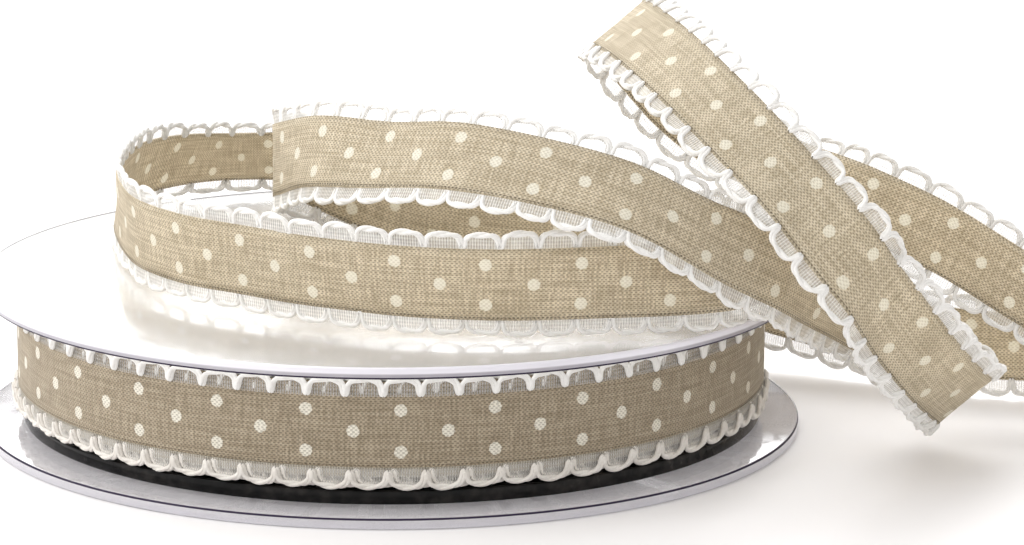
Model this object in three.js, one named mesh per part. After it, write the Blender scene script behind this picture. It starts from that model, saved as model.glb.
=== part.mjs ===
// A reel of ribbon: two clear discs on a hub, the wound ribbon between them, a black disc under
// the winding, and a long loose end that loops over the reel and stands beside it.
// Millimetres, +Z up. The reel's axis is the line x = 0, y = 0 of the sizes below.

import * as THREE from 'three';

// The reel
const FLANGE_RADIUS = 58;
const FLANGE_THICK = 1.6;
const FLANGE_EDGE = 0.3;
const HUB_INNER = 20;
const HUB_OUTER = 22.4;
const BLACK_RADIUS = 52.5;
const BLACK_THICK = 2;
const WINDING_INNER = 22.7;
const WINDING_RADIUS = 53;

// The ribbon: a linen band with a row of scalloped edging along each side
const LINEN_WIDE = 10;
const EDGING_DEEP = 2.3;
const EDGING_NECK = 1;
const WOUND_EDGING = 2.6;
const SCALLOP_LONG = 5;
const CLOTH_THICK = 1;
const GAP = 0.3;

// Heights, each piece standing clear of the one under it
const BLACK_LOW = FLANGE_THICK + GAP;
const EDGING_LOW = BLACK_LOW + BLACK_THICK + GAP;
const LINEN_LOW = EDGING_LOW + WOUND_EDGING + GAP;
const EDGING_HIGH = LINEN_LOW + LINEN_WIDE + GAP;
const TOP_FLANGE = EDGING_HIGH + WOUND_EDGING + GAP;

const ROUND_STEPS = 96;
const LINEN_STEP = 3;
const FINE_STEPS = 20;

// The way of the loose end, as its middle line: a row for each place where the band changes its
// way. lean turns the band about its own line, in degrees, from as upright as it can stand.
const ON_THE_FLANGE = [
  { x: 14, y: 40, z: 29.6, lean: -26 },
  { x: 4, y: 42.5, z: 29.4, lean: -30 },
  { x: -6, y: 44, z: 29.3, lean: -32 },
  { x: -17, y: 45, z: 29.2, lean: -34 },
  { x: -27, y: 44, z: 29.2, lean: -34 },
  { x: -34, y: 39, z: 29.4, lean: -28 },
  { x: -38.2, y: 30, z: 29.7, lean: -18 },
  { x: -39.6, y: 19, z: 29.8, lean: -10 },
  { x: -39.4, y: 8, z: 29.8, lean: -2 },
  { x: -37.8, y: -2, z: 29.8, lean: 3 },
  { x: -34.6, y: -12.8, z: 29.8, lean: 5 },
  { x: -28, y: -22.4, z: 29.8, lean: 6 },
  { x: -19.4, y: -29.2, z: 29.8, lean: 7 },
  { x: -9.2, y: -36.4, z: 29.8, lean: 8 },
  { x: 2, y: -41.6, z: 29.8, lean: 8 },
  { x: 14, y: -43.8, z: 29.8, lean: 8 },
  { x: 27, y: -42.5, z: 29.8, lean: 6 },
  { x: 39, y: -40, z: 29.8, lean: 2 },
  { x: 47, y: -36.5, z: 29.8, lean: 0 },
  { x: 51, y: -31, z: 29.8, lean: 0 },
  { x: 51.5, y: -24, z: 29.8, lean: 0 },
  { x: 47.5, y: -18.5, z: 29.8, lean: 0 },
  { x: 38, y: -14.5, z: 29.8, lean: 0 },
  { x: 26, y: -10, z: 29.8, lean: 0 },
  { x: 14, y: -5.5, z: 29.8, lean: 0 },
];
const OVER_THE_FRONT = [
  { x: 3, y: -0.5, z: 30.6, lean: 0 },
  { x: -6, y: 4, z: 33, lean: 0 },
  { x: -12.5, y: 4.5, z: 36, lean: -4 },
  { x: -16.2, y: -1.5, z: 37.8, lean: 0 },
  { x: -15.2, y: -9, z: 39.8, lean: -5 },
  { x: -10, y: -20, z: 43, lean: -20 },
  { x: -1, y: -30, z: 44.5, lean: -36 },
  { x: 9, y: -38, z: 46, lean: -38 },
  { x: 20.5, y: -43, z: 45, lean: -42 },
  { x: 32.5, y: -45, z: 42, lean: -40 },
  { x: 43.5, y: -42.2, z: 35.8, lean: -26 },
  { x: 53, y: -38, z: 30.5, lean: 0 },
  { x: 59.5, y: -28, z: 25, lean: 20 },
  { x: 65, y: -17.5, z: 20, lean: 23 },
  { x: 70.5, y: -11.5, z: 15.5, lean: 18 },
  { x: 76.5, y: -10.5, z: 10.5, lean: -14 },
];
const THE_ARCH = [
  { x: 80, y: -18, z: 7.6, lean: -48 },
  { x: 75.5, y: -30, z: 13.6, lean: -43 },
  { x: 69.6, y: -39, z: 22, lean: -34 },
  { x: 62.7, y: -45.5, z: 32.4, lean: 8 },
  { x: 55.1, y: -43, z: 41.6, lean: 49 },
  { x: 47.7, y: -35.5, z: 48.7, lean: 55 },
  { x: 41.5, y: -24.5, z: 53.5, lean: 58 },
  { x: 36.4, y: -9.5, z: 56, lean: 56 },
  { x: 33, y: 3, z: 56.5, lean: 53 },
  { x: 32.5, y: 15, z: 54, lean: 43 },
  { x: 38.5, y: 25, z: 44.5, lean: -4 },
  { x: 48, y: 25, z: 36, lean: -44 },
  { x: 58, y: 18.5, z: 32.5, lean: -46 },
];
const DOWN_AND_BACK = [
  { x: 68, y: 11.5, z: 29.5, lean: -24 },
  { x: 79, y: 8, z: 24.8, lean: -3 },
  { x: 89.5, y: 3.5, z: 19, lean: -1 },
  { x: 99, y: -1, z: 14, lean: 0 },
  { x: 107, y: -2, z: 10.5, lean: 0 },
  { x: 112, y: 3, z: 8.4, lean: 0 },
  { x: 110.5, y: 10, z: 8, lean: 0 },
  { x: 103, y: 13, z: 8, lean: 0 },
  { x: 94, y: 11.5, z: 8, lean: 0 },
  { x: 85, y: 13.5, z: 8, lean: 0 },
  { x: 74, y: 19.5, z: 8, lean: 0 },
  { x: 61.5, y: 27, z: 9.6, lean: 0 },
  { x: 48, y: 34.5, z: 11.8, lean: 0 },
  { x: 37.5, y: 40.8, z: 12.2, lean: 0 },
  { x: 27.3, y: 47, z: 12.2, lean: 0 },
  { x: 18.5, y: 51, z: 12.2, lean: 0 },
];
const ROUTE = [...ON_THE_FLANGE, ...OVER_THE_FRONT, ...THE_ARCH, ...DOWN_AND_BACK];

// One number between rows, on a smooth curve through the rows on either side
function between(rows, column, at) {
  const i = Math.min(Math.floor(at), rows.length - 2);
  const f = at - i;
  const row = (k) => rows[Math.min(Math.max(k, 0), rows.length - 1)][column];
  const [a, b, c, d] = [row(i - 1), row(i), row(i + 1), row(i + 2)];
  const bend = 2 * a - 5 * b + 4 * c - d;
  const turn = 3 * b - a - 3 * c + d;
  return b + 0.5 * f * (c - a + f * (bend + f * turn));
}

// Fine points along the route, each with its length along the ribbon, its direction and lean
function finePoints(rows) {
  const line = [];
  const last = (rows.length - 1) * FINE_STEPS;
  for (let k = 0; k <= last; k += 1) {
    const at = k / FINE_STEPS;
    const place = new THREE.Vector3(...['x', 'y', 'z'].map((name) => between(rows, name, at)));
    const along = k ? line[k - 1].along + place.distanceTo(line[k - 1].place) : 0;
    line.push({ place, along, lean: between(rows, 'lean', at) });
  }
  line.forEach((point, k) => {
    const before = line[Math.max(k - 1, 0)].place;
    const after = line[Math.min(k + 1, last)].place;
    point.way = after.clone().sub(before).normalize();
  });
  return line;
}

const LINE = finePoints(ROUTE);
const LOOSE_LONG = LINE[LINE.length - 1].along;

// The band at one length along: its middle, the direction across it and the one out of its face
function bandAt(along) {
  let k = 1;
  while (k < LINE.length - 1 && LINE[k].along < along) k += 1;
  const [a, b] = [LINE[k - 1], LINE[k]];
  const f = Math.min(Math.max((along - a.along) / (b.along - a.along), 0), 1);
  const middle = a.place.clone().lerp(b.place, f);
  const way = a.way.clone().lerp(b.way, f).normalize();
  const lean = THREE.MathUtils.degToRad(a.lean + f * (b.lean - a.lean));
  const up = new THREE.Vector3(0, 0, 1).addScaledVector(way, -way.z).normalize();
  const side = way.clone().cross(up);
  const across = up.multiplyScalar(Math.cos(lean)).addScaledVector(side, Math.sin(lean));
  const out = across.clone().cross(way).normalize();
  return { middle, across, out };
}

function solidOf(corners, faces) {
  const geometry = new THREE.BufferGeometry();
  const flat = corners.flatMap((p) => [p.x, p.y, p.z]);
  geometry.setAttribute('position', new THREE.Float32BufferAttribute(flat, 3));
  geometry.setIndex(faces);
  return geometry;
}

// Four corners at each station make a closed strip; a loop has no ends to close
function stripFaces(count, loop) {
  const faces = [];
  const gaps = loop ? count : count - 1;
  for (let i = 0; i < gaps; i += 1) {
    const here = 4 * i;
    const next = 4 * ((i + 1) % count);
    for (let c = 0; c < 4; c += 1) {
      const d = (c + 1) % 4;
      faces.push(here + c, next + c, next + d, here + c, next + d, here + d);
    }
  }
  if (!loop) {
    const end = 4 * (count - 1);
    faces.push(0, 1, 2, 0, 2, 3, end, end + 2, end + 1, end, end + 3, end + 2);
  }
  return faces;
}

// A strip of cloth that follows the route between two distances from its middle line
function clothStrip(stations) {
  const corners = [];
  for (const { along, low, high } of stations) {
    const { middle, across, out } = bandAt(along);
    for (const [far, face] of [[low, -1], [high, -1], [high, 1], [low, 1]]) {
      const corner = middle.clone().addScaledVector(across, far);
      corners.push(corner.addScaledVector(out, (face * CLOTH_THICK) / 2));
    }
  }
  return solidOf(corners, stripFaces(stations.length, false));
}

function looseLinen() {
  const steps = Math.round(LOOSE_LONG / LINEN_STEP);
  const stations = [];
  for (let i = 0; i <= steps; i += 1) {
    stations.push({ along: (i / steps) * LOOSE_LONG, low: -LINEN_WIDE / 2, high: LINEN_WIDE / 2 });
  }
  return clothStrip(stations);
}

// Depth of the edging: a neck between scallops, then the rise, top and fall of each bump
const SCALLOP = [
  { part: 0, deep: EDGING_NECK },
  { part: 0.25, deep: EDGING_DEEP },
  { part: 0.75, deep: EDGING_DEEP },
];

function looseEdging(side) {
  const near = LINEN_WIDE / 2 + GAP;
  const count = Math.floor(LOOSE_LONG / SCALLOP_LONG);
  const stations = [];
  for (let i = 0; i < count; i += 1) {
    for (const { part, deep } of SCALLOP) {
      const edges = [side * near, side * (near + deep)].sort((a, b) => a - b);
      stations.push({ along: (i + part) * SCALLOP_LONG, low: edges[0], high: edges[1] });
    }
  }
  return clothStrip(stations);
}

// The edging of the wound ribbon: a ring with its scallops pointing down or up
function woundEdging(level, pointing) {
  const bumps = Math.round((2 * Math.PI * WINDING_RADIUS) / SCALLOP_LONG);
  const corners = [];
  for (let i = 0; i < bumps; i += 1) {
    for (const { part, deep } of SCALLOP) {
      const angle = ((i + part) / bumps) * 2 * Math.PI;
      const reach = deep === EDGING_NECK ? WOUND_EDGING - 1.2 : WOUND_EDGING;
      const low = pointing < 0 ? level + WOUND_EDGING - reach : level;
      const high = pointing < 0 ? level + WOUND_EDGING : level + reach;
      const section = [[WINDING_RADIUS, low], [WINDING_RADIUS, high], [WINDING_INNER, high]];
      for (const [r, z] of [...section, [WINDING_INNER, low]]) {
        corners.push(new THREE.Vector3(r * Math.cos(angle), r * Math.sin(angle), z));
      }
    }
  }
  return solidOf(corners, stripFaces(corners.length / 4, true));
}

// A flat ring with its outer edges taken off by a small amount
function ring(inner, outer, low, thick, edge) {
  const high = low + thick;
  const profile = [[inner, low], [outer - edge, low]];
  if (edge > 0) profile.push([outer, low + edge], [outer, high - edge]);
  profile.push([outer - edge, high], [inner, high], [inner, low]);
  const points = profile.map(([r, z]) => new THREE.Vector2(r, z));
  return new THREE.LatheGeometry(points, ROUND_STEPS).rotateX(Math.PI / 2);
}

const CLEAR = { color: 0xe9e7f2, roughness: 0.08, metalness: 0 };
const BLACK = { color: 0x0c0c0d, roughness: 0.15, metalness: 0 };
const LINEN = { color: 0xab9c82, roughness: 0.9, metalness: 0 };
const WHITE = { color: 0xf3f0ea, roughness: 0.85, metalness: 0 };

function named(name, geometry, look) {
  const mesh = new THREE.Mesh(geometry, new THREE.MeshStandardMaterial(look));
  mesh.name = name;
  return mesh;
}

function build() {
  const hubTall = TOP_FLANGE - GAP - BLACK_LOW;
  const windingWide = WINDING_RADIUS - WINDING_INNER;
  const pieces = [
    named('bottom_disc', ring(HUB_INNER, FLANGE_RADIUS, 0, FLANGE_THICK, FLANGE_EDGE), CLEAR),
    named('top_disc', ring(HUB_INNER, FLANGE_RADIUS, TOP_FLANGE, FLANGE_THICK, FLANGE_EDGE), CLEAR),
    named('hub', ring(HUB_INNER, HUB_OUTER, BLACK_LOW, hubTall, 0), CLEAR),
    named('black_disc', ring(WINDING_INNER, BLACK_RADIUS, BLACK_LOW, BLACK_THICK, FLANGE_EDGE), BLACK),
    named('wound_linen', ring(WINDING_INNER, WINDING_INNER + windingWide, LINEN_LOW, LINEN_WIDE, 0), LINEN),
    named('wound_edging_low', woundEdging(EDGING_LOW, -1), WHITE),
    named('wound_edging_high', woundEdging(EDGING_HIGH, 1), WHITE),
    named('loose_linen', looseLinen(), LINEN),
    named('loose_edging_low', looseEdging(-1), WHITE),
    named('loose_edging_high', looseEdging(1), WHITE),
  ];
  // The frame's origin is under the middle of the whole part
  const size = new THREE.Box3();
  for (const piece of pieces) {
    piece.geometry.computeBoundingBox();
    size.union(piece.geometry.boundingBox);
  }
  const middle = size.getCenter(new THREE.Vector3());
  const group = new THREE.Group();
  for (const piece of pieces) {
    piece.geometry.translate(-middle.x, -middle.y, -size.min.z);
    group.add(piece);
  }
  return group;
}

export default build();
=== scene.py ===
# %% [markdown]
# # A reel of lace-edged ribbon
# The real thing is a clear plastic reel with a taupe linen-look ribbon wound on it. The ribbon has
# small cream dots and a crocheted cotton edging along both sides, and its loose end loops over the
# reel. The solids of the part come first, as a fixed frame, and every piece made here stands where
# its solid stands.

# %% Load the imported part
import math

import bpy
import numpy as np
from mathutils import Matrix, Vector


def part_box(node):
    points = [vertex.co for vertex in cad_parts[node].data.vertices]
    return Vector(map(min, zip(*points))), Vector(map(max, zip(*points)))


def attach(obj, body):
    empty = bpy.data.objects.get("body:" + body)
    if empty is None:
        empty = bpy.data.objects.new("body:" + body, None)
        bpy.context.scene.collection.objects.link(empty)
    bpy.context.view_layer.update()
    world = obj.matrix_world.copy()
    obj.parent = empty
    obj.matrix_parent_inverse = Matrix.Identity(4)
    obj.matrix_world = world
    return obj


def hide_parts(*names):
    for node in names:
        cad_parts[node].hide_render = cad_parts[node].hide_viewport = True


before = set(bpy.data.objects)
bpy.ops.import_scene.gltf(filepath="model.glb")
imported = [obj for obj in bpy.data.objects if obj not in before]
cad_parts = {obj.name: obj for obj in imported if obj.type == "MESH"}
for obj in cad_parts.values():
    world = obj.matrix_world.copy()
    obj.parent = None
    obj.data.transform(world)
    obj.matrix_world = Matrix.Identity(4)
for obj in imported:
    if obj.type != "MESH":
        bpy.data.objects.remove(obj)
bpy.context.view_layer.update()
MM = 0.001
disc_low, disc_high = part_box("bottom_disc")
REEL = Vector(((disc_low.x + disc_high.x) / 2, (disc_low.y + disc_high.y) / 2, 0))

# %% [markdown]
# ## Camera
# The camera comes first, because everything else is judged through it. It stands low and far away
# with a long lens, so the discs show as flat ovals. A camera is aimed by hand or by a matrix. The
# matrix is chosen here, because it keeps the small roll of the photograph.

# %% Camera at the photograph's angle
CAMERA_PLACE = Vector((13.97, -653.2, 170.06)) * MM
LOOK_DOWN = 0.2236
LOOK_RIGHT = 0.0048
TILT = 0.0038
SENSOR = 36.0
FOCAL_SHARE = 4718 / 1024


def aimed(place, down, right, tilt):
    """The camera's matrix, from its place and three small angles."""
    turn = Matrix.Rotation(-right, 4, "Z") @ Matrix.Rotation(math.pi / 2 - down, 4, "X")
    return Matrix.Translation(place) @ turn @ Matrix.Rotation(tilt, 4, "Z")


lens = bpy.data.cameras.new("camera")
lens.sensor_width = SENSOR
lens.lens = SENSOR * FOCAL_SHARE
lens.clip_start = 0.05
lens.clip_end = 20
camera = bpy.data.objects.new("camera", lens)
bpy.context.scene.collection.objects.link(camera)
camera.matrix_world = aimed(REEL + CAMERA_PLACE, LOOK_DOWN, LOOK_RIGHT, TILT)
bpy.context.scene.camera = camera
print("camera lens in mm", round(lens.lens, 1))

# %% [markdown]
# ## Floor and light
# The reel was photographed on a white table in very soft light from the upper left. A wide plane
# and a white world give that. One large lamp on the left makes the left side of every loop paler
# than the right, and one behind bleaches the far floor to pure white.


# %% Helpers for nodes
def deselect():
    """Leaves nothing selected, so that the next operator acts on the new piece alone."""
    bpy.ops.object.select_all(action="DESELECT")


def new_material(name, **settings):
    """A material with its shader, and its plain values set on the shader's own sockets."""
    material = bpy.data.materials.new(name)
    material.use_nodes = True
    shader = material.node_tree.nodes["Principled BSDF"]
    for socket, value in settings.items():
        shader.inputs[socket.replace("_", " ")].default_value = value
    return material, material.node_tree, shader


def put(tree, kind, *sources, **settings):
    """A new node, with a link or a value for each of its first inputs."""
    node = tree.nodes.new(kind)
    for name, value in settings.items():
        setattr(node, name, value)
    for socket, source in zip(node.inputs, sources):
        if isinstance(source, bpy.types.NodeSocket):
            tree.links.new(source, socket)
        elif source is not None:
            socket.default_value = source
    return node


def sums(tree, operation, *sources):
    """One step of arithmetic."""
    return put(tree, "ShaderNodeMath", *sources, operation=operation).outputs[0]


def step(tree, value, low, high):
    """A soft step that goes from 0 at low to 1 at high."""
    node = put(tree, "ShaderNodeMapRange", value, low, high, 0.0, 1.0)
    node.interpolation_type = "SMOOTHSTEP"
    return node.outputs[0]


def blend(tree, share, first, second):
    """A colour between two colours."""
    node = tree.nodes.new("ShaderNodeMix")
    node.data_type = "RGBA"
    for socket, source in ((0, share), (6, first), (7, second)):
        if isinstance(source, bpy.types.NodeSocket):
            tree.links.new(source, node.inputs[socket])
        else:
            node.inputs[socket].default_value = source
    return node.outputs[2]


def bumped(tree, shader, height, distance):
    """Relief on a shader from a height of 0 to 1, distance deep."""
    bump = tree.nodes.new("ShaderNodeBump")
    bump.inputs["Distance"].default_value = distance
    tree.links.new(height, bump.inputs["Height"])
    tree.links.new(bump.outputs[0], shader.inputs["Normal"])


# %% Floor, world and lamps
FLOOR_WHITE = (0.9, 0.885, 0.885, 1)
floor_material, tree, shader = new_material("pale table", Base_Color=FLOOR_WHITE, Roughness=0.7)
speckle = put(tree, "ShaderNodeTexNoise", None, None, 900.0).outputs[0]
bumped(tree, shader, speckle, 0.02 * MM)
deselect()
bpy.ops.mesh.primitive_plane_add(size=8)
floor = bpy.context.object
floor.name = "floor"
floor.data.materials.append(floor_material)

world = bpy.data.worlds.new("white room")
world.use_nodes = True
world.node_tree.nodes["Background"].inputs[0].default_value = (1.0, 0.99, 0.98, 1)
world.node_tree.nodes["Background"].inputs[1].default_value = 0.8
bpy.context.scene.world = world
bpy.context.scene.view_settings.view_transform = "Standard"


def lamp(name, place, target, size, watts):
    """A square soft lamp that faces its target."""
    light = bpy.data.lights.new(name, "AREA")
    light.size = size
    light.energy = watts
    piece = bpy.data.objects.new(name, light)
    bpy.context.scene.collection.objects.link(piece)
    piece.location = place
    piece.rotation_euler = (Vector(target) - Vector(place)).to_track_quat("-Z", "Y").to_euler()


lamp("window", (-0.62, -0.12, 0.55), (0, 0, 0.02), 0.8, 5.2)
lamp("back light", (-0.1, 0.75, 0.55), (0, 0.2, 0), 0.8, 10.0)
print("stage", floor.name, "and 2 lamps")

# %% [markdown]
# ## Shared finishes
# Three effects return on several pieces, so each is a node group that is built once. The weave is
# rows of short dark gaps between pale threads, each row half a repeat along, as bricks are laid.
# The dots sit in three rows, the middle row half a repeat along. The smudges are two layers of
# noise, for the haze and finger marks that any handled plastic has. A picture of cloth could be
# laid on instead, but a pattern made of sums stays sharp from close by, and each material gives it
# its own colours.


# %% Helpers for node groups
def group(name, inputs, outputs):
    """An empty node group with float sockets, and its own in and out nodes."""
    tree = bpy.data.node_groups.new(name, "ShaderNodeTree")
    for socket, value in inputs.items():
        kind = "NodeSocketVector" if value is None else "NodeSocketFloat"
        made = tree.interface.new_socket(socket, in_out="INPUT", socket_type=kind)
        if value is not None:
            made.default_value = value
    for socket in outputs:
        tree.interface.new_socket(socket, in_out="OUTPUT", socket_type="NodeSocketFloat")
    return tree, tree.nodes.new("NodeGroupInput"), tree.nodes.new("NodeGroupOutput")


def ribbon_sides(tree, vector):
    """The length along and the distance across a ribbon, in millimetres, from its UV map."""
    parts = put(tree, "ShaderNodeSeparateXYZ", vector)
    return parts.outputs[0], parts.outputs[1]


def wrapped(tree, value, repeat, shift):
    """The distance to the nearest of a row of marks, repeat apart and the first at shift."""
    return sums(tree, "WRAP", sums(tree, "SUBTRACT", value, shift), repeat / 2, -repeat / 2)


def far(tree, first, second):
    """The length of the slope over two sides."""
    squares = sums(tree, "ADD", sums(tree, "POWER", first, 2.0), sums(tree, "POWER", second, 2.0))
    return sums(tree, "SQRT", squares)


def grouped(tree, made, vector, **values):
    """A node group placed in a material."""
    node = tree.nodes.new("ShaderNodeGroup")
    node.node_tree = made
    tree.links.new(vector, node.inputs[0])
    for socket, value in values.items():
        node.inputs[socket].default_value = value
    return node


# %% Node group for the weave
# Sizes in the cloth are in millimetres
THREAD_PITCH = 0.66
ROW_PITCH = 0.28
weave, into, out = group("slub weave", {"UV": None, "Pitch": THREAD_PITCH}, ("Height", "Tone"))
along, across = ribbon_sides(weave, into.outputs["UV"])
row = sums(weave, "FLOOR", sums(weave, "DIVIDE", across, ROW_PITCH))
loose_row = put(weave, "ShaderNodeCombineXYZ", sums(weave, "MULTIPLY", along, 0.5), row).outputs[0]
sway = put(weave, "ShaderNodeTexNoise", loose_row, None, 1.0, 1.0).outputs[0]
brick = sums(weave, "MULTIPLY", sums(weave, "MODULO", row, 2.0), 0.5)
place = sums(weave, "ADD", sums(weave, "DIVIDE", along, into.outputs["Pitch"]), brick)
place = sums(weave, "MULTIPLY_ADD", sway, 0.9, place)
beside = sums(weave, "ABSOLUTE", sums(weave, "SUBTRACT", sums(weave, "FRACT", place), 0.5))
within = sums(weave, "FRACT", sums(weave, "DIVIDE", across, ROW_PITCH))
within = sums(weave, "ABSOLUTE", sums(weave, "SUBTRACT", within, 0.5))
gap_long = step(weave, beside, 0.34, 0.16)
gap_wide = step(weave, within, 0.44, 0.16)
gap = sums(weave, "MULTIPLY", gap_long, gap_wide)
weave.links.new(sums(weave, "SUBTRACT", 1.0, gap), out.inputs["Height"])

# %% Slubs of the weave
# Noise stretched along and across, for threads that are paler or darker than the next
long_threads = put(weave, "ShaderNodeCombineXYZ", sums(weave, "MULTIPLY", along, 0.12),
                   sums(weave, "MULTIPLY", across, 2.9))
cross_threads = put(weave, "ShaderNodeCombineXYZ", sums(weave, "MULTIPLY", along, 2.9),
                    sums(weave, "MULTIPLY", across, 0.25))
first = put(weave, "ShaderNodeTexNoise", long_threads.outputs[0], None, 1.0, 2.0).outputs[0]
second = put(weave, "ShaderNodeTexNoise", cross_threads.outputs[0], None, 1.0, 2.0).outputs[0]
mean = sums(weave, "MULTIPLY", sums(weave, "ADD", first, second), 0.5)
weave.links.new(step(weave, mean, 0.36, 0.64), out.inputs["Tone"])
print("weave group has", len(weave.nodes), "nodes")


# %% Node group for the dots
DOT_REPEAT = 12.7
DOT_ROW = 2.83
DOT_RADIUS = 0.86
dots, into, out = group("woven dots", {"UV": None, "Radius": DOT_RADIUS}, ("Mask",))
along, across = ribbon_sides(dots, into.outputs["UV"])
outer_row = sums(dots, "SUBTRACT", sums(dots, "ABSOLUTE", across), DOT_ROW)
outer_far = far(dots, wrapped(dots, along, DOT_REPEAT, 0.0), outer_row)
middle_far = far(dots, wrapped(dots, along, DOT_REPEAT, DOT_REPEAT / 2), across)
nearest = sums(dots, "MINIMUM", outer_far, middle_far)
ragged = put(dots, "ShaderNodeTexNoise", into.outputs["UV"], None, 2.6, 1.0).outputs[0]
nearest = sums(dots, "ADD", nearest, sums(dots, "MULTIPLY_ADD", ragged, 0.36, -0.18))
inside = sums(dots, "SUBTRACT", nearest, into.outputs["Radius"])
dots.links.new(step(dots, inside, 0.07, -0.07), out.inputs["Mask"])
print("dot group has", len(dots.nodes), "nodes")

# %% Node group for smudges
smudge, into, out = group("smudges", {"Vector": None, "Scale": 40.0}, ("Mask",))
wide = put(smudge, "ShaderNodeTexNoise", into.outputs["Vector"], None, into.outputs["Scale"], 3.0)
fine_scale = sums(smudge, "MULTIPLY", into.outputs["Scale"], 9.0)
fine = put(smudge, "ShaderNodeTexNoise", into.outputs["Vector"], None, fine_scale, 2.0)
both = sums(smudge, "MULTIPLY", wide.outputs[0], fine.outputs[0])
smudge.links.new(step(smudge, both, 0.15, 0.45), out.inputs["Mask"])
print("smudge group has", len(smudge.nodes), "nodes")


# %% [markdown]
# ## Clear and black plastic
# Polystyrene is clear with a faint lilac tint that only shows where the light runs a long way in
# it, at the rims. The faces are clear with a little haze, more of it on the upper disc, and the
# lower disc's tint is darker, a painted shade over what shows through it. The rims could take the
# same finish, but a thin rim needs far more light paths than a render spends, so the light and
# shade in them are painted into a finish of their own, one painted tone low on the rim and another
# above it, with a painted dark line of shade along one edge. The shadow of clear plastic is pale,
# so its alpha is low for shadow rays alone.


# %% Clear plastic
def object_place(tree):
    """Where the point lies on the piece, in metres."""
    return tree.nodes.new("ShaderNodeTexCoord").outputs["Object"]


PLASTIC_IOR = 1.46


def clear_plastic(name, tint, roughness, shadow, clear):
    """Clear plastic with a haze, whose shadow keeps only some of its strength."""
    material, tree, shader = new_material(
        name, Base_Color=tint, Roughness=roughness, IOR=PLASTIC_IOR, Transmission_Weight=clear,
        Specular_IOR_Level=0.3
    )
    haze = grouped(tree, smudge, object_place(tree), Scale=30.0).outputs[0]
    rough = sums(tree, "MULTIPLY_ADD", haze, 0.1, roughness)
    tree.links.new(rough, shader.inputs["Roughness"])
    path = tree.nodes.new("ShaderNodeLightPath")
    indirect = sums(tree, "MAXIMUM", path.outputs["Is Shadow Ray"], path.outputs["Is Diffuse Ray"])
    alpha = sums(tree, "MULTIPLY_ADD", indirect, shadow - 1.0, 1.0)
    tree.links.new(alpha, shader.inputs["Alpha"])
    return material


upper_plastic = clear_plastic("hazy clear plastic", (0.95, 0.94, 0.93, 1), 0.12, 0.12, 0.88)
# The lower disc's tint is darker, a painted shade over the floor seen through it.
lower_plastic_shaded = clear_plastic("clear plastic", (0.86, 0.85, 0.885, 1), 0.06, 0.34, 1.0)
hub_plastic = clear_plastic("clear plastic of the hub", (0.95, 0.95, 0.97, 1), 0.12, 0.3, 1.0)
print("clear plastics", upper_plastic.name, lower_plastic_shaded.name, hub_plastic.name)


# %% Rims of the discs
def painted_rim_light(name, line, below, above, clear):
    """Painted light and shade on a rim: one painted tone below a height, another above it, and
    faint pale streaks of painted reflection.
    """
    material, tree, shader = new_material(
        name, Roughness=0.16, IOR=PLASTIC_IOR, Transmission_Weight=clear
    )
    place = object_place(tree)
    height = put(tree, "ShaderNodeSeparateXYZ", place).outputs[2]
    upper = step(tree, height, line - 0.2 * MM, line + 0.1 * MM)
    streak = put(tree, "ShaderNodeTexNoise", place, None, 60.0, 2.0).outputs[0]
    shade = blend(tree, upper, below, above)
    tree.links.new(blend(tree, sums(tree, "MULTIPLY", streak, 0.35), shade, (1, 1, 1, 1)),
                   shader.inputs["Base Color"])
    return material


# Painted light and shade: the upper rim is dark below its line and pale lilac above it, and the
# lower rim is pale lilac, in place of the light in the clear rims.
upper_rim_painted = painted_rim_light(
    "rim of the upper disc, painted light and shade", 21.1 * MM, (0.3, 0.28, 0.33, 1), (0.84, 0.82, 0.9, 1), 0.2
)
lower_rim_painted = painted_rim_light(
    "rim of the lower disc, painted light", 0.9 * MM, (0.8, 0.78, 0.88, 1), (0.88, 0.86, 0.93, 1), 0.75
)
# A painted dark line of shade along one rim edge of each disc, where refraction darkens the clear
# rim.
painted_edge_shade, tree, shader = new_material(
    "painted dark edge line", Base_Color=(0.03, 0.022, 0.045, 1), Roughness=0.4, Specular_IOR_Level=0.1
)
wear = grouped(tree, smudge, object_place(tree), Scale=80.0).outputs[0]
tree.links.new(sums(tree, "MULTIPLY_ADD", wear, 0.3, 0.3), shader.inputs["Roughness"])
print("rims", upper_rim_painted.name, lower_rim_painted.name, painted_edge_shade.name)

# %% Black plastic
black_plastic, tree, shader = new_material(
    "black plastic", Base_Color=(0.012, 0.011, 0.01, 1), Roughness=0.2, Specular_IOR_Level=0.12
)
marks = grouped(tree, smudge, object_place(tree), Scale=70.0).outputs[0]
tree.links.new(sums(tree, "MULTIPLY_ADD", marks, 0.22, 0.07), shader.inputs["Roughness"])
tree.links.new(blend(tree, marks, (0.006, 0.006, 0.006, 1), (0.03, 0.027, 0.025, 1)),
               shader.inputs["Base Color"])
print("opaque plastic", black_plastic.name)

# %% [markdown]
# ## Linen and cotton
# The linen is woven from two shades of thread, with slubs, and the cream dots are woven in, so
# their edges follow the threads. Near the lower edge a row of needle holes shows where the edging
# is worked in. A loose ribbon lets part of the light through and looks much paler than the wound
# one, which has dark turns behind it and stands in shade, so a translucent shader is mixed into the
# loose linen, and the wound linen is the same cloth painted darker, as painted shade. The reverse
# of the loose end is painted a little paler, as painted light. The edging is white cotton: a sheer
# ground of fine cross threads, and a soft cord; its copies on the winding are painted darker, as
# painted shade.


# %% Linen
def ribbon_map(tree):
    """The ribbon's own UV map, which counts millimetres along and across."""
    node = tree.nodes.new("ShaderNodeUVMap")
    node.uv_map = "ribbon"
    return node.outputs[0]


DOT_CREAM = (0.98, 0.95, 0.84, 1)
HOLE_BROWN = (0.1, 0.075, 0.045, 1)
NEEDLE_ROW = 4.68
NEEDLE_PITCH = 0.55


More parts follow.
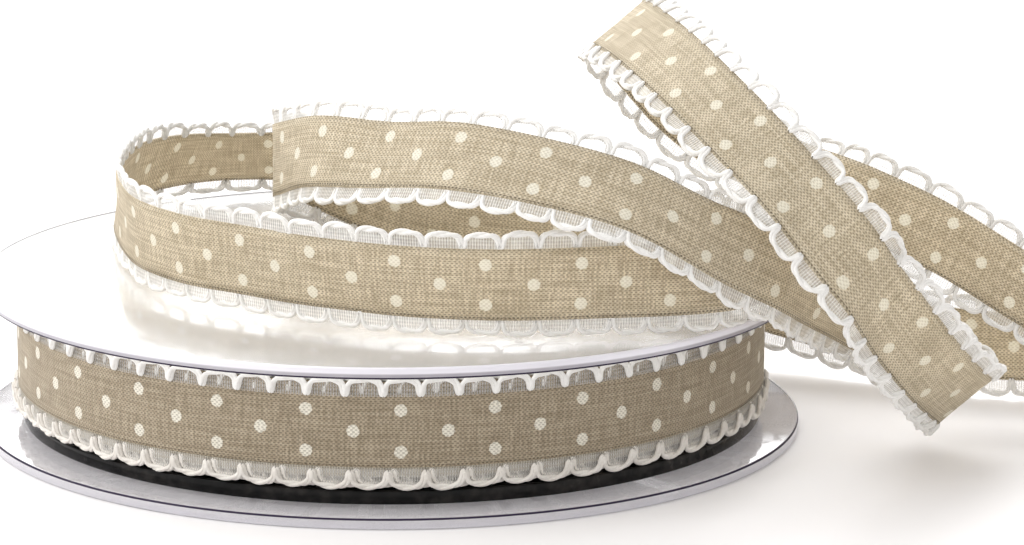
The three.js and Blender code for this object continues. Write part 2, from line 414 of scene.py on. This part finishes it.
def linen(name, dark, light, gaps, dot_share, glow):
    """Dotted linen with a weave, slubs and needle holes, which lets part of the light through."""
    material, tree, shader = new_material(
        name, Roughness=0.85, Sheen_Weight=0.2, Sheen_Roughness=0.5, Specular_IOR_Level=0.25
    )
    shader.inputs["Sheen Tint"].default_value = (1.0, 0.97, 0.92, 1)
    uv = ribbon_map(tree)
    threads = grouped(tree, weave, uv, Pitch=THREAD_PITCH)
    spots = grouped(tree, dots, uv, Radius=DOT_RADIUS).outputs[0]
    cloth = blend(tree, threads.outputs["Tone"], dark, light)
    open_gap = sums(tree, "SUBTRACT", 1.0, threads.outputs["Height"])
    cloth = blend(tree, sums(tree, "MULTIPLY", open_gap, 0.66), cloth, gaps)
    spots = sums(tree, "MULTIPLY", spots, sums(tree, "MULTIPLY_ADD", open_gap, -0.3, dot_share))
    cloth = blend(tree, spots, cloth, DOT_CREAM)
    along, across = ribbon_sides(tree, uv)
    edge = sums(tree, "ADD", across, NEEDLE_ROW)
    hole = far(tree, wrapped(tree, along, NEEDLE_PITCH, 0.0), sums(tree, "MULTIPLY", edge, 1.3))
    hole = step(tree, hole, 0.2, 0.1)
    cloth = blend(tree, sums(tree, "MULTIPLY", hole, 0.6), cloth, HOLE_BROWN)
    tree.links.new(cloth, shader.inputs["Base Color"])
    relief = sums(tree, "SUBTRACT", threads.outputs["Height"], sums(tree, "MULTIPLY", hole, 0.8))
    bumped(tree, shader, relief, 0.08 * MM)
    through = put(tree, "ShaderNodeBsdfTranslucent", cloth).outputs[0]
    both = put(tree, "ShaderNodeMixShader", glow, shader.outputs[0], through).outputs[0]
    tree.links.new(both, tree.nodes["Material Output"].inputs["Surface"])
    return material


# dark threads, pale threads, gaps, how strong the dots are, how much light comes through
linen_face = linen(
    "linen", (0.6, 0.515, 0.37, 1), (0.9, 0.81, 0.645, 1), (0.26, 0.205, 0.13, 1), 0.98, 0.36
)
# The reverse has slightly fainter dots of its own, and its threads are painted a little paler than
# the face, as painted light.
linen_reverse_lit = linen(
    "linen reverse, painted paler",
    (0.63, 0.55, 0.405, 1), (0.9, 0.82, 0.665, 1), (0.3, 0.245, 0.16, 1), 0.95, 0.42
)
# Painted shade: the wound linen is the loose end's cloth painted darker, with fainter dots, for the
# shade that the winding stands in.
linen_wound_shaded = linen(
    "linen, wound, painted shade",
    (0.29, 0.235, 0.16, 1), (0.46, 0.385, 0.28, 1), (0.12, 0.094, 0.058, 1), 0.66, 0.0
)
print("linens", linen_face.name, linen_reverse_lit.name, linen_wound_shaded.name)


# %% Edges of the wound turns
def turns_of(name, dark, light, pitch):
    """The edges of many wound turns, seen end on as fine rings; the dark rings between them and
    their dark tone are painted shade.
    """
    material, tree, shader = new_material(name, Roughness=0.9, Sheen_Weight=0.2)
    parts = put(tree, "ShaderNodeSeparateXYZ", object_place(tree))
    out_x = sums(tree, "SUBTRACT", parts.outputs[0], REEL.x)
    radius = far(tree, out_x, parts.outputs[1])
    rings = sums(tree, "SINE", sums(tree, "MULTIPLY", radius, 2 * math.pi / pitch))
    cloud = put(tree, "ShaderNodeTexNoise", object_place(tree), None, 160.0, 3.0).outputs[0]
    share = sums(tree, "MULTIPLY_ADD", rings, 0.25, cloud)
    tree.links.new(blend(tree, share, dark, light), shader.inputs["Base Color"])
    bumped(tree, shader, rings, 0.1 * MM)
    return material


linen_turns_shaded = turns_of("linen turns, painted shade", (0.24, 0.19, 0.12, 1), (0.5, 0.43, 0.32, 1), 0.42 * MM)
print("rings", linen_turns_shaded.name)


# %% Cotton of the cord
def cotton(name, shade, white):
    """White cotton with fine fibres and a soft sheen."""
    material, tree, shader = new_material(
        name, Roughness=0.9, Sheen_Weight=0.35, Sheen_Roughness=0.5, Specular_IOR_Level=0.2
    )
    place = object_place(tree)
    fibres = put(tree, "ShaderNodeTexNoise", place, None, 2600.0, 3.0).outputs[0]
    cloud = put(tree, "ShaderNodeTexNoise", place, None, 300.0, 2.0).outputs[0]
    cloud = sums(tree, "MULTIPLY", cloud, 0.6)
    share = sums(tree, "ADD", sums(tree, "MULTIPLY", fibres, 0.5), cloud)
    tree.links.new(blend(tree, share, shade, white), shader.inputs["Base Color"])
    bumped(tree, shader, fibres, 0.12 * MM)
    return material


cord_cotton = cotton("cotton cord", (0.7, 0.68, 0.64, 1), (0.93, 0.92, 0.9, 1))
# Painted shade: a darker copy of the cord's cotton, for the lower edging of the winding.
shaded_cotton = cotton("cotton low on the reel", (0.56, 0.51, 0.45, 1), (0.9, 0.87, 0.82, 1))
inner_cotton = cotton("cotton of the turns", (0.66, 0.6, 0.5, 1), (0.96, 0.94, 0.9, 1))
print("cottons", cord_cotton.name, shaded_cotton.name, inner_cotton.name)


# %% Sheer ground of the edging
def sheer_net(name, shade, white, cover_least):
    """The sheer ground of the edging: fine cross threads with gaps between them."""
    material, tree, shader = new_material(name, Roughness=0.9, Sheen_Weight=0.2)
    uv = ribbon_map(tree)
    along, across = ribbon_sides(tree, uv)
    ribs = sums(tree, "SINE", sums(tree, "MULTIPLY", along, 2 * math.pi / 0.36))
    rows = sums(tree, "SINE", sums(tree, "MULTIPLY", across, 2 * math.pi / 0.5))
    cloud = put(tree, "ShaderNodeTexNoise", uv, None, 1.2, 2.0).outputs[0]
    cover = sums(tree, "MULTIPLY_ADD", rows, 0.07, cover_least)
    cover = sums(tree, "MULTIPLY_ADD", ribs, 0.2, cover)
    cover = sums(tree, "MULTIPLY_ADD", cloud, 0.3, cover)
    tree.links.new(cover, shader.inputs["Alpha"])
    tree.links.new(blend(tree, cloud, shade, white), shader.inputs["Base Color"])
    bumped(tree, shader, ribs, 0.06 * MM)
    return material


net_cotton = sheer_net(
    "sheer cotton ground", (0.82, 0.8, 0.76, 1), (0.94, 0.93, 0.9, 1), 0.42
)
# Painted shade: the ground on the winding is a darker copy of the loose ground.
wound_net_shaded = sheer_net(
    "sheer ground, wound, painted shade", (0.72, 0.69, 0.64, 1), (0.88, 0.86, 0.82, 1), 0.16
)
# Painted shade: the plain band is white cotton ground painted taupe, for the shade behind it low on
# the reel.
band_painted_shade = sheer_net(
    "plain band of the edging, painted shade", (0.42, 0.375, 0.3, 1), (0.62, 0.57, 0.48, 1), 0.6
)
print("grounds", net_cotton.name, wound_net_shaded.name, band_painted_shade.name)

# %% [markdown]
# ## The reel
# Each disc is moulded with a hole and a softened rim. It could be a cylinder with a hole cut in
# it, but a turned section gives cleaner faces: a small plane stands upright at the rim, its
# corners are bevelled, and it is spun about the reel's axis.


# %% Turned rings
HUB_BORE = 20 * MM
HUB_OUTER = 22.4 * MM
WINDING_BORE = 22.7 * MM
RIM_DEEP = 0.35 * MM
DISC_STEPS = 192


def turned_ring(name, inner, outer, low, high, soften, steps):
    """A ring with softened edges, spun from an upright rectangle."""
    deselect()
    bpy.ops.mesh.primitive_plane_add(
        size=1, location=(REEL.x + (inner + outer) / 2, REEL.y, (low + high) / 2),
        rotation=(math.pi / 2, 0, 0)
    )
    piece = bpy.context.object
    piece.name = name
    piece.scale = (outer - inner, high - low, 1)
    bpy.ops.object.transform_apply(location=True, rotation=True, scale=True)
    bpy.ops.object.mode_set(mode="EDIT")
    bpy.ops.mesh.select_all(action="SELECT")
    bpy.ops.mesh.bevel(offset=soften, segments=3, affect="VERTICES")
    bpy.ops.mesh.select_all(action="SELECT")
    bpy.ops.mesh.delete(type="ONLY_FACE")
    bpy.ops.mesh.select_all(action="SELECT")
    bpy.ops.mesh.spin(steps=steps, angle=2 * math.pi, center=REEL, axis=(0, 0, 1))
    bpy.ops.mesh.select_all(action="SELECT")
    bpy.ops.mesh.remove_doubles(threshold=0.01 * MM)
    bpy.ops.mesh.normals_make_consistent(inside=False)
    bpy.ops.object.mode_set(mode="OBJECT")
    bpy.ops.object.shade_smooth_by_angle(angle=math.radians(35))
    print(name, len(piece.data.polygons), "faces,", round((high - low) / MM, 2), "mm thick")
    return piece


def finished(piece, materials, slot, *nodes):
    """Gives a piece its materials and its body, and hides the solids it stands for. slot is not
    used.
    """
    piece.data.materials.clear()
    for material in materials:
        piece.data.materials.append(material)
    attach(piece, "root")
    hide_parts(*nodes)


def radius_of(point):
    """How far a point is from the reel's axis."""
    return math.hypot(point.x - REEL.x, point.y - REEL.y)


def clear_disc(name, node, plastic, rim, line_on_top):
    """A clear disc whose rim has painted light and shade, and one painted dark line of shade along
    the rim's edge.
    """
    low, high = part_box(node)
    outer = (high.x - low.x) / 2
    piece = turned_ring(name, HUB_BORE, outer, low.z, high.z, 0.3 * MM, DISC_STEPS)
    finished(piece, (plastic, rim, painted_edge_shade), "clear_plastic", node)
    middle = (low.z + high.z) / 2
    for face in piece.data.polygons:
        if radius_of(face.center) > outer - RIM_DEEP:
            face.material_index = 1
            # The slanted faces along one edge take the painted dark line of shade.
            on_line = (face.center.z > middle) == line_on_top
            slanted = 0.2 < abs(face.normal.z) < 0.95
            if on_line and slanted:
                face.material_index = 2


clear_disc("disc_bottom", "bottom_disc", lower_plastic_shaded, lower_rim_painted, True)
clear_disc("disc_top", "top_disc", upper_plastic, upper_rim_painted, False)

# %% Hub and black disc
low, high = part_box("hub")
hub = turned_ring("hub_tube", HUB_BORE, HUB_OUTER, low.z, high.z, 0.2 * MM, 96)
finished(hub, (hub_plastic,), "clear_plastic", "hub")
low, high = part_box("black_disc")
outer = (high.x - low.x) / 2
black = turned_ring("black_plate", WINDING_BORE, outer, low.z, high.z, 0.3 * MM, DISC_STEPS)
finished(black, (black_plastic,), "black_plastic", "black_disc")

# %% [markdown]
# ## The ribbon, laid out flat
# The ribbon is made as it is in a mill: flat and straight, in metres along x, across y and out
# of its face along z. Each scallop is modelled once and repeated by an Array modifier. Then each
# flat piece is laid, vertex by vertex, on the way that the loose end takes or round the winding.
# Cloth simulation was the other choice, but a ribbon's loops stand in places that only the
# photograph gives.

# %% Shape of one scallop
LINEN_HALF = 5.0 * MM
SCALLOP = 5.0 * MM
# One scallop from dip to dip, in millimetres: along, above the linen's edge, out of the face
CORD_LINE = (
    (0.0, 0.1, 0.34),
    (0.16, 0.26, 0.34),
    (0.26, 0.8, 0.28),
    (0.4, 1.3, 0.2),
    (0.8, 1.74, 0.14),
    (1.5, 1.96, 0.1),
    (2.5, 2.02, 0.08),
    (3.5, 1.96, 0.1),
    (4.2, 1.74, 0.14),
    (4.6, 1.3, 0.2),
    (4.74, 0.8, 0.28),
    (4.84, 0.26, 0.34),
    (5.0, 0.1, 0.34),
)
deep = max(row[1] for row in CORD_LINE)
print("a scallop is", round(SCALLOP / MM, 1), "mm long and", deep, "mm deep")


# %% Flat pieces
def smooth_rows(rows, steps):
    """Points on a smooth curve through rows of numbers, steps to each gap between rows."""
    rows = np.array(rows, float)
    last = len(rows) - 1
    at = np.arange(last * steps + 1) / steps
    i = np.minimum(at.astype(int), last - 1)
    f = (at - i)[:, None]
    a, b, c, d = (rows[np.clip(i + k, 0, last)] for k in (-1, 0, 1, 2))
    return b + 0.5 * f * (c - a + f * ((2 * a - 5 * b + 4 * c - d) + f * (3 * b - a - 3 * c + d)))


def flat_grid(name, long, low, high, steps_long, steps_across):
    """A flat grid from x = 0 to long and from y = low to high."""
    deselect()
    bpy.ops.mesh.primitive_grid_add(
        x_subdivisions=steps_long, y_subdivisions=steps_across, size=1
    )
    piece = bpy.context.object
    piece.name = name
    piece.scale = (long, high - low, 1)
    piece.location = (long / 2, (low + high) / 2, 0)
    bpy.ops.object.transform_apply(location=True, rotation=True, scale=True)
    return piece


def repeated(piece, count, merge):
    """Copies a piece along x, one scallop apart, and joins the copies."""
    deselect()
    piece.select_set(True)
    bpy.context.view_layer.objects.active = piece
    array = piece.modifiers.new("repeat", "ARRAY")
    array.count = count
    array.use_relative_offset = False
    array.use_constant_offset = True
    array.constant_offset_displace = (SCALLOP, 0, 0)
    array.use_merge_vertices = True
    array.merge_threshold = merge
    bpy.ops.object.modifier_apply(modifier=array.name)
    return piece


def corners_of(piece):
    """The piece's vertices as rows of x, y and z."""
    flat = np.empty(3 * len(piece.data.vertices))
    piece.data.vertices.foreach_get("co", flat)
    return flat.reshape(-1, 3)


def move_corners(piece, corners):
    """Puts the piece's vertices at rows of x, y and z."""
    piece.data.vertices.foreach_set("co", corners.ravel())
    piece.data.update()


NET_UNDER = 0.3 * MM


def edging_net(name, count):
    """The sheer ground of the scallops, whose free edge runs under the cord."""
    piece = flat_grid(name, SCALLOP, 0, 1, 14, 3)
    corners = corners_of(piece)
    line = smooth_rows(CORD_LINE, 4) * MM
    top = np.interp(corners[:, 0], line[:, 0], line[:, 1])
    corners[:, 1] = -NET_UNDER + corners[:, 1] * (top + NET_UNDER)
    move_corners(piece, corners)
    return repeated(piece, count, 0.02 * MM)


# %% Cord
STRAND_THICK = 0.6 * MM
STRAND_APART = 0.18 * MM


def edging_cord(name, count):
    """The cord along the scallops, as two strands that turn about each other once a scallop."""
    strands = []
    line = smooth_rows(CORD_LINE, 2) * MM
    way = np.gradient(line, axis=0)
    side = np.stack((-way[:, 1], way[:, 0]), 1)
    side /= np.linalg.norm(side, axis=1)[:, None]
    side[0] = side[-1] = (0, 1)
    for strand in (0, 1):
        turn = 2 * math.pi * line[:, 0] / SCALLOP + strand * math.pi + 0.6
        curve = bpy.data.curves.new(name, "CURVE")
        curve.dimensions = "3D"
        curve.bevel_depth = STRAND_THICK / 2
        curve.bevel_resolution = 1
        spline = curve.splines.new("POLY")
        spline.points.add(len(line) - 1)
        for k, point in enumerate(spline.points):
            shift = STRAND_APART * math.cos(turn[k])
            out = STRAND_APART * math.sin(turn[k])
            x, y, z = line[k]
            point.co = (x + shift * side[k][0], y + shift * side[k][1], z + out, 1)
        piece = bpy.data.objects.new(name, curve)
        bpy.context.scene.collection.objects.link(piece)
        strands.append(piece)
    deselect()
    for piece in strands:
        piece.select_set(True)
    bpy.context.view_layer.objects.active = strands[0]
    bpy.ops.object.convert(target="MESH")
    bpy.ops.object.join()
    return repeated(bpy.context.object, count, 0.12 * MM)


# %% [markdown]
# ## The way of the loose end
# These rows are the same as the rows of the solids: the ribbon's middle line and how far the band
# leans from upright. The ribbon goes up from the back, round to the left over the upper disc,
# along the front, over itself, under and over in a tall arch, and out to the right, from where it
# comes back low behind the reel. A curve drawn by hand would do for the cloth alone, but rows of
# numbers can be the same in both.

# %% Route of the middle line
# x, y and z in millimetres from the reel's axis, and the lean in degrees
ROUTE = (
    (14, 40, 29.6, -26),
    (4, 42.5, 29.4, -30),
    (-6, 44, 29.3, -32),
    (-17, 45, 29.2, -34),
    (-27, 44, 29.2, -34),
    (-34, 39, 29.4, -28),
    (-38.2, 30, 29.7, -18),
    (-39.6, 19, 29.8, -10),
    (-39.4, 8, 29.8, -2),
    (-37.8, -2, 29.8, 3),
    (-34.6, -12.8, 29.8, 5),
    (-28, -22.4, 29.8, 6),
    (-19.4, -29.2, 29.8, 7),
    (-9.2, -36.4, 29.8, 8),
    (2, -41.6, 29.8, 8),
    (14, -43.8, 29.8, 8),
    (27, -42.5, 29.8, 6),
    (39, -40, 29.8, 2),
    (47, -36.5, 29.8, 0),
    (51, -31, 29.8, 0),
    (51.5, -24, 29.8, 0),
    (47.5, -18.5, 29.8, 0),
    (38, -14.5, 29.8, 0),
    (26, -10, 29.8, 0),
    (14, -5.5, 29.8, 0),
    (3, -0.5, 30.6, 0),
    (-6, 4, 33, 0),
    (-12.5, 4.5, 36, -4),
    (-16.2, -1.5, 37.8, 0),
    (-15.2, -9, 39.8, -5),
    (-10, -20, 43, -20),
    (-1, -30, 44.5, -36),
    (9, -38, 46, -38),
    (20.5, -43, 45, -42),
    (32.5, -45, 42, -40),
    (43.5, -42.2, 35.8, -26),
    (53, -38, 30.5, 0),
    (59.5, -28, 25, 20),
    (65, -17.5, 20, 23),
    (70.5, -11.5, 15.5, 18),
    (76.5, -10.5, 10.5, -14),
    (80, -18, 7.6, -48),
    (75.5, -30, 13.6, -43),
    (69.6, -39, 22, -34),
    (62.7, -45.5, 32.4, 8),
    (55.1, -43, 41.6, 49),
    (47.7, -35.5, 48.7, 55),
    (41.5, -24.5, 53.5, 58),
    (36.4, -9.5, 56, 56),
    (33, 3, 56.5, 53),
    (32.5, 15, 54, 43),
    (38.5, 25, 44.5, -4),
    (48, 25, 36, -44),
    (58, 18.5, 32.5, -46),
    (68, 11.5, 29.5, -24),
    (79, 8, 24.8, -3),
    (89.5, 3.5, 19, -1),
    (99, -1, 14, 0),
    (107, -2, 10.5, 0),
    (112, 3, 8.4, 0),
    (110.5, 10, 8, 0),
    (103, 13, 8, 0),
    (94, 11.5, 8, 0),
    (85, 13.5, 8, 0),
    (74, 19.5, 8, 0),
    (61.5, 27, 9.6, 0),
    (48, 34.5, 11.8, 0),
    (37.5, 40.8, 12.2, 0),
    (27.3, 47, 12.2, 0),
    (18.5, 51, 12.2, 0),
)

# %% Lengths along the route
LINE = smooth_rows(ROUTE, 20)
MIDDLE = LINE[:, :3] * MM + np.array(REEL)
LEAN = np.radians(LINE[:, 3])
STEPS = np.linalg.norm(np.diff(MIDDLE, axis=0), axis=1)
ALONG = np.concatenate(([0], np.cumsum(STEPS)))
WAY = np.gradient(MIDDLE, axis=0)
WAY /= np.linalg.norm(WAY, axis=1)[:, None]
LOOSE_LONG = float(ALONG[-1])
print("the loose end is", round(LOOSE_LONG / MM), "mm long")


# %% Places on the route
def waves(at, *lengths):
    """A smooth uneven wobble between about -1 and 1, from waves of several lengths."""
    total = sum(np.sin(2 * math.pi * at / long + 1.7 * k) for k, long in enumerate(lengths))
    return total / len(lengths)


def on_route(along, across, out):
    """Where points of the flat ribbon lie on the loose end's way."""
    middle = np.stack([np.interp(along, ALONG, MIDDLE[:, k]) for k in range(3)], 1)
    way = np.stack([np.interp(along, ALONG, WAY[:, k]) for k in range(3)], 1)
    way /= np.linalg.norm(way, axis=1)[:, None]
    lean = np.interp(along, ALONG, LEAN)[:, None]
    up = np.array((0, 0, 1.0)) - way[:, 2:] * way
    up /= np.linalg.norm(up, axis=1)[:, None]
    side = np.cross(way, up)
    over = up * np.cos(lean) + side * np.sin(lean)
    face = np.cross(over, way)
    return middle + over * across[:, None] + face * out[:, None]


# %% [markdown]
# ## Where the dots fall
# On a real ribbon the dots are evenly spaced, but a loop that the photograph half hides can't be
# laid to the last millimetre. So a short table says at which length along the ribbon which repeat
# of the dots lies, as counted in the photograph, and the cloth's UV map is stretched to it.

# %% Table of repeats
# length along in millimetres, number of the repeat whose outer dots lie there
DOT_ROWS = (
    (0, -1.6), (34.1, 1), (42, 2), (50, 3), (102.1, 7), (114.4, 8), (126.2, 9), (138.1, 10),
    (150.8, 11), (163, 12), (175.8, 13), (187.9, 14), (301, 23), (313.5, 24), (327, 25),
    (339.3, 26), (351.6, 27), (364.2, 28), (376.9, 29), (388.9, 30), (443.7, 34), (456, 35),
    (469.7, 36), (484.2, 37), (496.6, 38), (509, 39), (522.6, 40), (538.7, 41), (551.7, 42),
    (617.5, 47), (630.3, 48), (642.8, 49), (782, 60),
)


def ribbon_uv(piece, along, across):
    """Gives the piece its UV map in millimetres, from each vertex's place on the flat ribbon."""
    layers = piece.data.uv_layers
    if "ribbon" not in layers:
        layers.new(name="ribbon")
    for other in [layer for layer in layers if layer.name != "ribbon"]:
        layers.remove(other)
    index = np.empty(len(piece.data.loops), int)
    piece.data.loops.foreach_get("vertex_index", index)
    places = np.stack((along[index], across[index]), 1)
    layers["ribbon"].data.foreach_set("uv", places.ravel())


def dotted(along):
    """The pattern's length in millimetres at a length along the loose end."""
    lengths, repeats = np.array(DOT_ROWS, float).T
    return np.interp(along / MM, lengths, repeats) * DOT_REPEAT


def lay(piece, place, flip, drop):
    """Lays a flat piece of edging, its y counted outwards from the linen's edge. flip is 1 for
    the upper edge and -1 for the lower."""
    flat = corners_of(piece)
    across = flip * (LINEN_HALF + flat[:, 1] + drop)
    ribbon_uv(piece, flat[:, 0] / MM, flat[:, 1] / MM)
    move_corners(piece, place(flat[:, 0], across, flat[:, 2]))
    if flip < 0:
        piece.data.flip_normals()


# %% [markdown]
# ## The loose end
# The linen is a thin sheet of 10 mm, a third of a millimetre thick, cupped a little across and
# wavy along its edges as a ribbon is that was wound tight. It is a grid bent to the route, and
# Solidify gives it its thickness, with the reverse in a material of its own. The edging goes with
# it on both sides, cord and sheer ground as parts of one piece. It could be a flat profile swept
# along a curve. A grid bent by the same sums as the edging is safer, because all of them then meet
# at every length.

# %% Loose linen
CLOTH = 0.34 * MM
linen_strip = flat_grid("ribbon_linen", LOOSE_LONG, -LINEN_HALF, LINEN_HALF, 760, 8)
flat = corners_of(linen_strip)
share = flat[:, 1] / LINEN_HALF
cup = 0.16 * MM * (share**2 - 0.4) * waves(flat[:, 0], 0.113, 0.071)
ripple = 0.1 * MM * share * waves(flat[:, 0], 0.031, 0.019)
ribbon_uv(linen_strip, dotted(flat[:, 0]), flat[:, 1] / MM)
move_corners(linen_strip, on_route(flat[:, 0], flat[:, 1], cup + ripple))
finished(linen_strip, (linen_face, linen_reverse_lit), "linen", "loose_linen")
thick = linen_strip.modifiers.new("thickness", "SOLIDIFY")
thick.thickness = CLOTH
thick.offset = 0
thick.material_offset = 1
bpy.ops.object.modifier_apply(modifier=thick.name)
bpy.ops.object.shade_smooth()
print("loose linen", len(linen_strip.data.polygons), "faces")

# %% Loose edging
LOOSE_SCALLOPS = int(LOOSE_LONG / SCALLOP)


def uneven(piece, amount):
    """Makes each scallop a little unlike the next: some stand taller, some lean out."""
    flat = corners_of(piece)
    rise = np.clip(flat[:, 1] / (2 * MM), 0, 1.2)
    flat[:, 1] *= 1 + 0.09 * amount * waves(flat[:, 0], 0.0127, 0.0213, 0.0371)
    flat[:, 2] += amount * 0.28 * MM * rise * waves(flat[:, 0], 0.0093, 0.0161, 0.0449)
    flat[:, 0] += amount * 0.22 * MM * waves(flat[:, 0], 0.0173, 0.0287)
    move_corners(piece, flat)
    return piece


def joined(name, pieces, slot, *nodes):
    """Joins pieces, which all have the same list of materials, into one."""
    deselect()
    for piece in pieces:
        piece.select_set(True)
    bpy.context.view_layer.objects.active = pieces[0]
    bpy.ops.object.join()
    whole = bpy.context.object
    whole.name = name
    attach(whole, "root")
    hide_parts(*nodes)
    bpy.ops.object.shade_smooth()
    print(name, len(whole.data.polygons), "faces")
    return whole


def painted(piece, materials, index):
    """Gives a piece a list of materials and all its faces the one at index."""
    piece.data.materials.clear()
    for material in materials:
        piece.data.materials.append(material)
    piece.data.polygons.foreach_set("material_index", [index] * len(piece.data.polygons))
    return piece


def edging_length(name, count, amount, place, flip, drop, materials, finishes):
    """Cord and sheer ground of one length of edging, laid in place, each with its finish."""
    parts = []
    for index, make in zip(finishes, (edging_cord, edging_net)):
        part = uneven(make(name + "_part", count), amount)
        lay(part, place, flip, drop)
        parts.append(painted(part, materials, index))
    return parts


def loose_edging(name, flip, node):
    """The edging along one side of the loose end."""
    materials = (cord_cotton, net_cotton)
    parts = edging_length(name, LOOSE_SCALLOPS, 1.0, on_route, flip, 0.0, materials, (0, 1))
    return joined(name, parts, "white_cotton", node)


edging_high = loose_edging("ribbon_edging_high", 1.0, "loose_edging_high")
edging_low = loose_edging("ribbon_edging_low", -1.0, "loose_edging_low")

# %% [markdown]
# ## The winding
# On the reel only the outermost turn shows its face, so the winding is one ring of linen. Its
# turns show end on, as fine rings. The edging of the outer few turns is laid round one by one, a
# little out of step, and the turns further in show through the clear disc as rows of white
# scallop tops, which are one uneven surface. A true spiral of some 90 turns would take millions of
# faces that stay hidden.

# %% Wound linen
WINDING = 53.0 * MM
WINDING_MIDDLE = 12.1 * MM
WINDING_STEPS = 256
low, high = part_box("wound_linen")
wound = turned_ring(
    "wound_ribbon", WINDING_BORE, WINDING, low.z, high.z, 0.15 * MM, WINDING_STEPS
)
spot = corners_of(wound)
angle = np.arctan2(spot[:, 1] - REEL.y, spot[:, 0] - REEL.x)
far_out = np.hypot(spot[:, 0] - REEL.x, spot[:, 1] - REEL.y)
bulge = 0.12 * MM * waves(angle * 53, 79.0, 41.0) * (far_out > 40 * MM)
spot[:, 0] += bulge * np.cos(angle)
spot[:, 1] += bulge * np.sin(angle)
move_corners(wound, spot)
FIRST_DOT = math.radians(-87.5)
PACK_REPEAT = math.radians(13.63)
ribbon_uv(wound, (angle - FIRST_DOT) / PACK_REPEAT * DOT_REPEAT, (spot[:, 2] - WINDING_MIDDLE) / MM)
finished(wound, (linen_wound_shaded, linen_turns_shaded), "linen", "wound_linen")
for face in wound.data.polygons:
    face.material_index = 1 if abs(face.normal.z) > 0.7 else 0

# %% Wound edging
WOUND_SCALLOPS = 67
TURN_LONG = WOUND_SCALLOPS * SCALLOP
EDGING = (cord_cotton, wound_net_shaded, inner_cotton, linen_wound_shaded, band_painted_shade, shaded_cotton)
CORD, NET, INNER, LINEN, BAND, SHADED = range(len(EDGING))
# radius, where the first dip stands in degrees, and how far the layer sits out of line
UPPER_LAYERS = ((53.1, 1.34, 0.0), (52.0, 3.6, -0.15))
LOWER_LAYERS = ((53.2, 2.05, 0.45), (52.6, 2.9, 0.3), (52.0, 4.6, 0.4), (51.3, 0.9, 0.35))


def on_winding(radius, phase):
    """A way of laying flat pieces round the winding, one full turn for TURN_LONG."""
    def place(along, across, out):
        angle = 2 * math.pi * along / TURN_LONG + phase
        far_out = radius + out
        x = REEL.x + far_out * np.cos(angle)
        y = REEL.y + far_out * np.sin(angle)
        return np.stack((x, y, WINDING_MIDDLE + across), 1)
    return place


def wound_edging(name, flip, layers, cord):
    """All modelled turns of edging on one side, along the upper or lower side of the winding."""
    parts = []
    for radius, phase, drop in layers:
        place = on_winding(radius * MM, math.radians(phase))
        parts += edging_length(
            name, WOUND_SCALLOPS, 0.8, place, flip, drop * MM, EDGING, (cord, NET)
        )
    return parts


# %% Turns further in
# In millimetres. Lengths along these turns are all counted at the radius MIDWAY.
TURN_APART = 1.24
INNERMOST = 23.0
OUTERMOST = 51.6
MIDWAY = 50


def inner_turns(name, low, flip, steps_round):
    """The tops of the turns further in, as one uneven ring of small bumps."""
    piece = flat_grid(name, 2 * math.pi, INNERMOST * MM, OUTERMOST * MM, steps_round, 46)
    flat = corners_of(piece)
    turn = np.round((flat[:, 1] / MM - INNERMOST) / TURN_APART)
    phase = turn * 2.4 + 0.8 * np.sin(turn * 1.9)
    scallops = flat[:, 0] * WOUND_SCALLOPS / 2 * (0.6 + 0.4 * flat[:, 1] / WINDING)
    bump = np.abs(np.sin(scallops + phase)) ** 0.5
    ridge = 0.5 + 0.5 * np.cos((flat[:, 1] / MM - INNERMOST) * 2 * math.pi / TURN_APART)
    along = flat[:, 0] * MIDWAY
    height = (1.0 + 1.1 * bump * ridge + 0.15 * waves(along + turn * 7, 17.0, 29.0)) * MM
    ribbon_uv(piece, along, flat[:, 1] / MM)
    out = flat[:, 1]
    x = REEL.x + out * np.cos(flat[:, 0])
    y = REEL.y + out * np.sin(flat[:, 0])
    move_corners(piece, np.stack((x, y, low + flip * height), 1))
    if flip > 0:
        piece.data.flip_normals()
    return painted(piece, EDGING, INNER)


STRIP_SHIFT = 3.0


def plain_strip(name, radius, low, high, index):
    """A plain strip round the winding, from low to high across the ribbon."""
    piece = flat_grid(name, TURN_LONG, low * MM, high * MM, WINDING_STEPS, 2)
    flat = corners_of(piece)
    repeats = 2 * math.pi * flat[:, 0] / TURN_LONG / PACK_REPEAT
    ribbon_uv(piece, repeats * DOT_REPEAT + STRIP_SHIFT, flat[:, 1] / MM)
    move_corners(piece, on_winding(radius * MM, 0.0)(flat[:, 0], flat[:, 1], flat[:, 2]))
    return painted(piece, EDGING, index)


# %% Edging of the winding, joined
parts = wound_edging("wound_edging_top", 1.0, UPPER_LAYERS, CORD)
parts.append(inner_turns("inner_top", WINDING_MIDDLE + LINEN_HALF, 1.0, 536))
parts.append(plain_strip("second_turn", 52.55, 4.9, 6.6, LINEN))
joined("wound_edging_top", parts, "white_cotton", "wound_edging_high")
parts = wound_edging("wound_edging_base", -1.0, LOWER_LAYERS, SHADED)
parts.append(inner_turns("inner_base", WINDING_MIDDLE - LINEN_HALF, -1.0, 190))
parts.append(plain_strip("plain_band", 53.0, -6.2, -4.9, BAND))
joined("wound_edging_base", parts, "white_cotton", "wound_edging_low")

# %% [markdown]
# ## Last step
# The view layer is brought up to date.

# %% Update the view layer
bpy.context.view_layer.update()
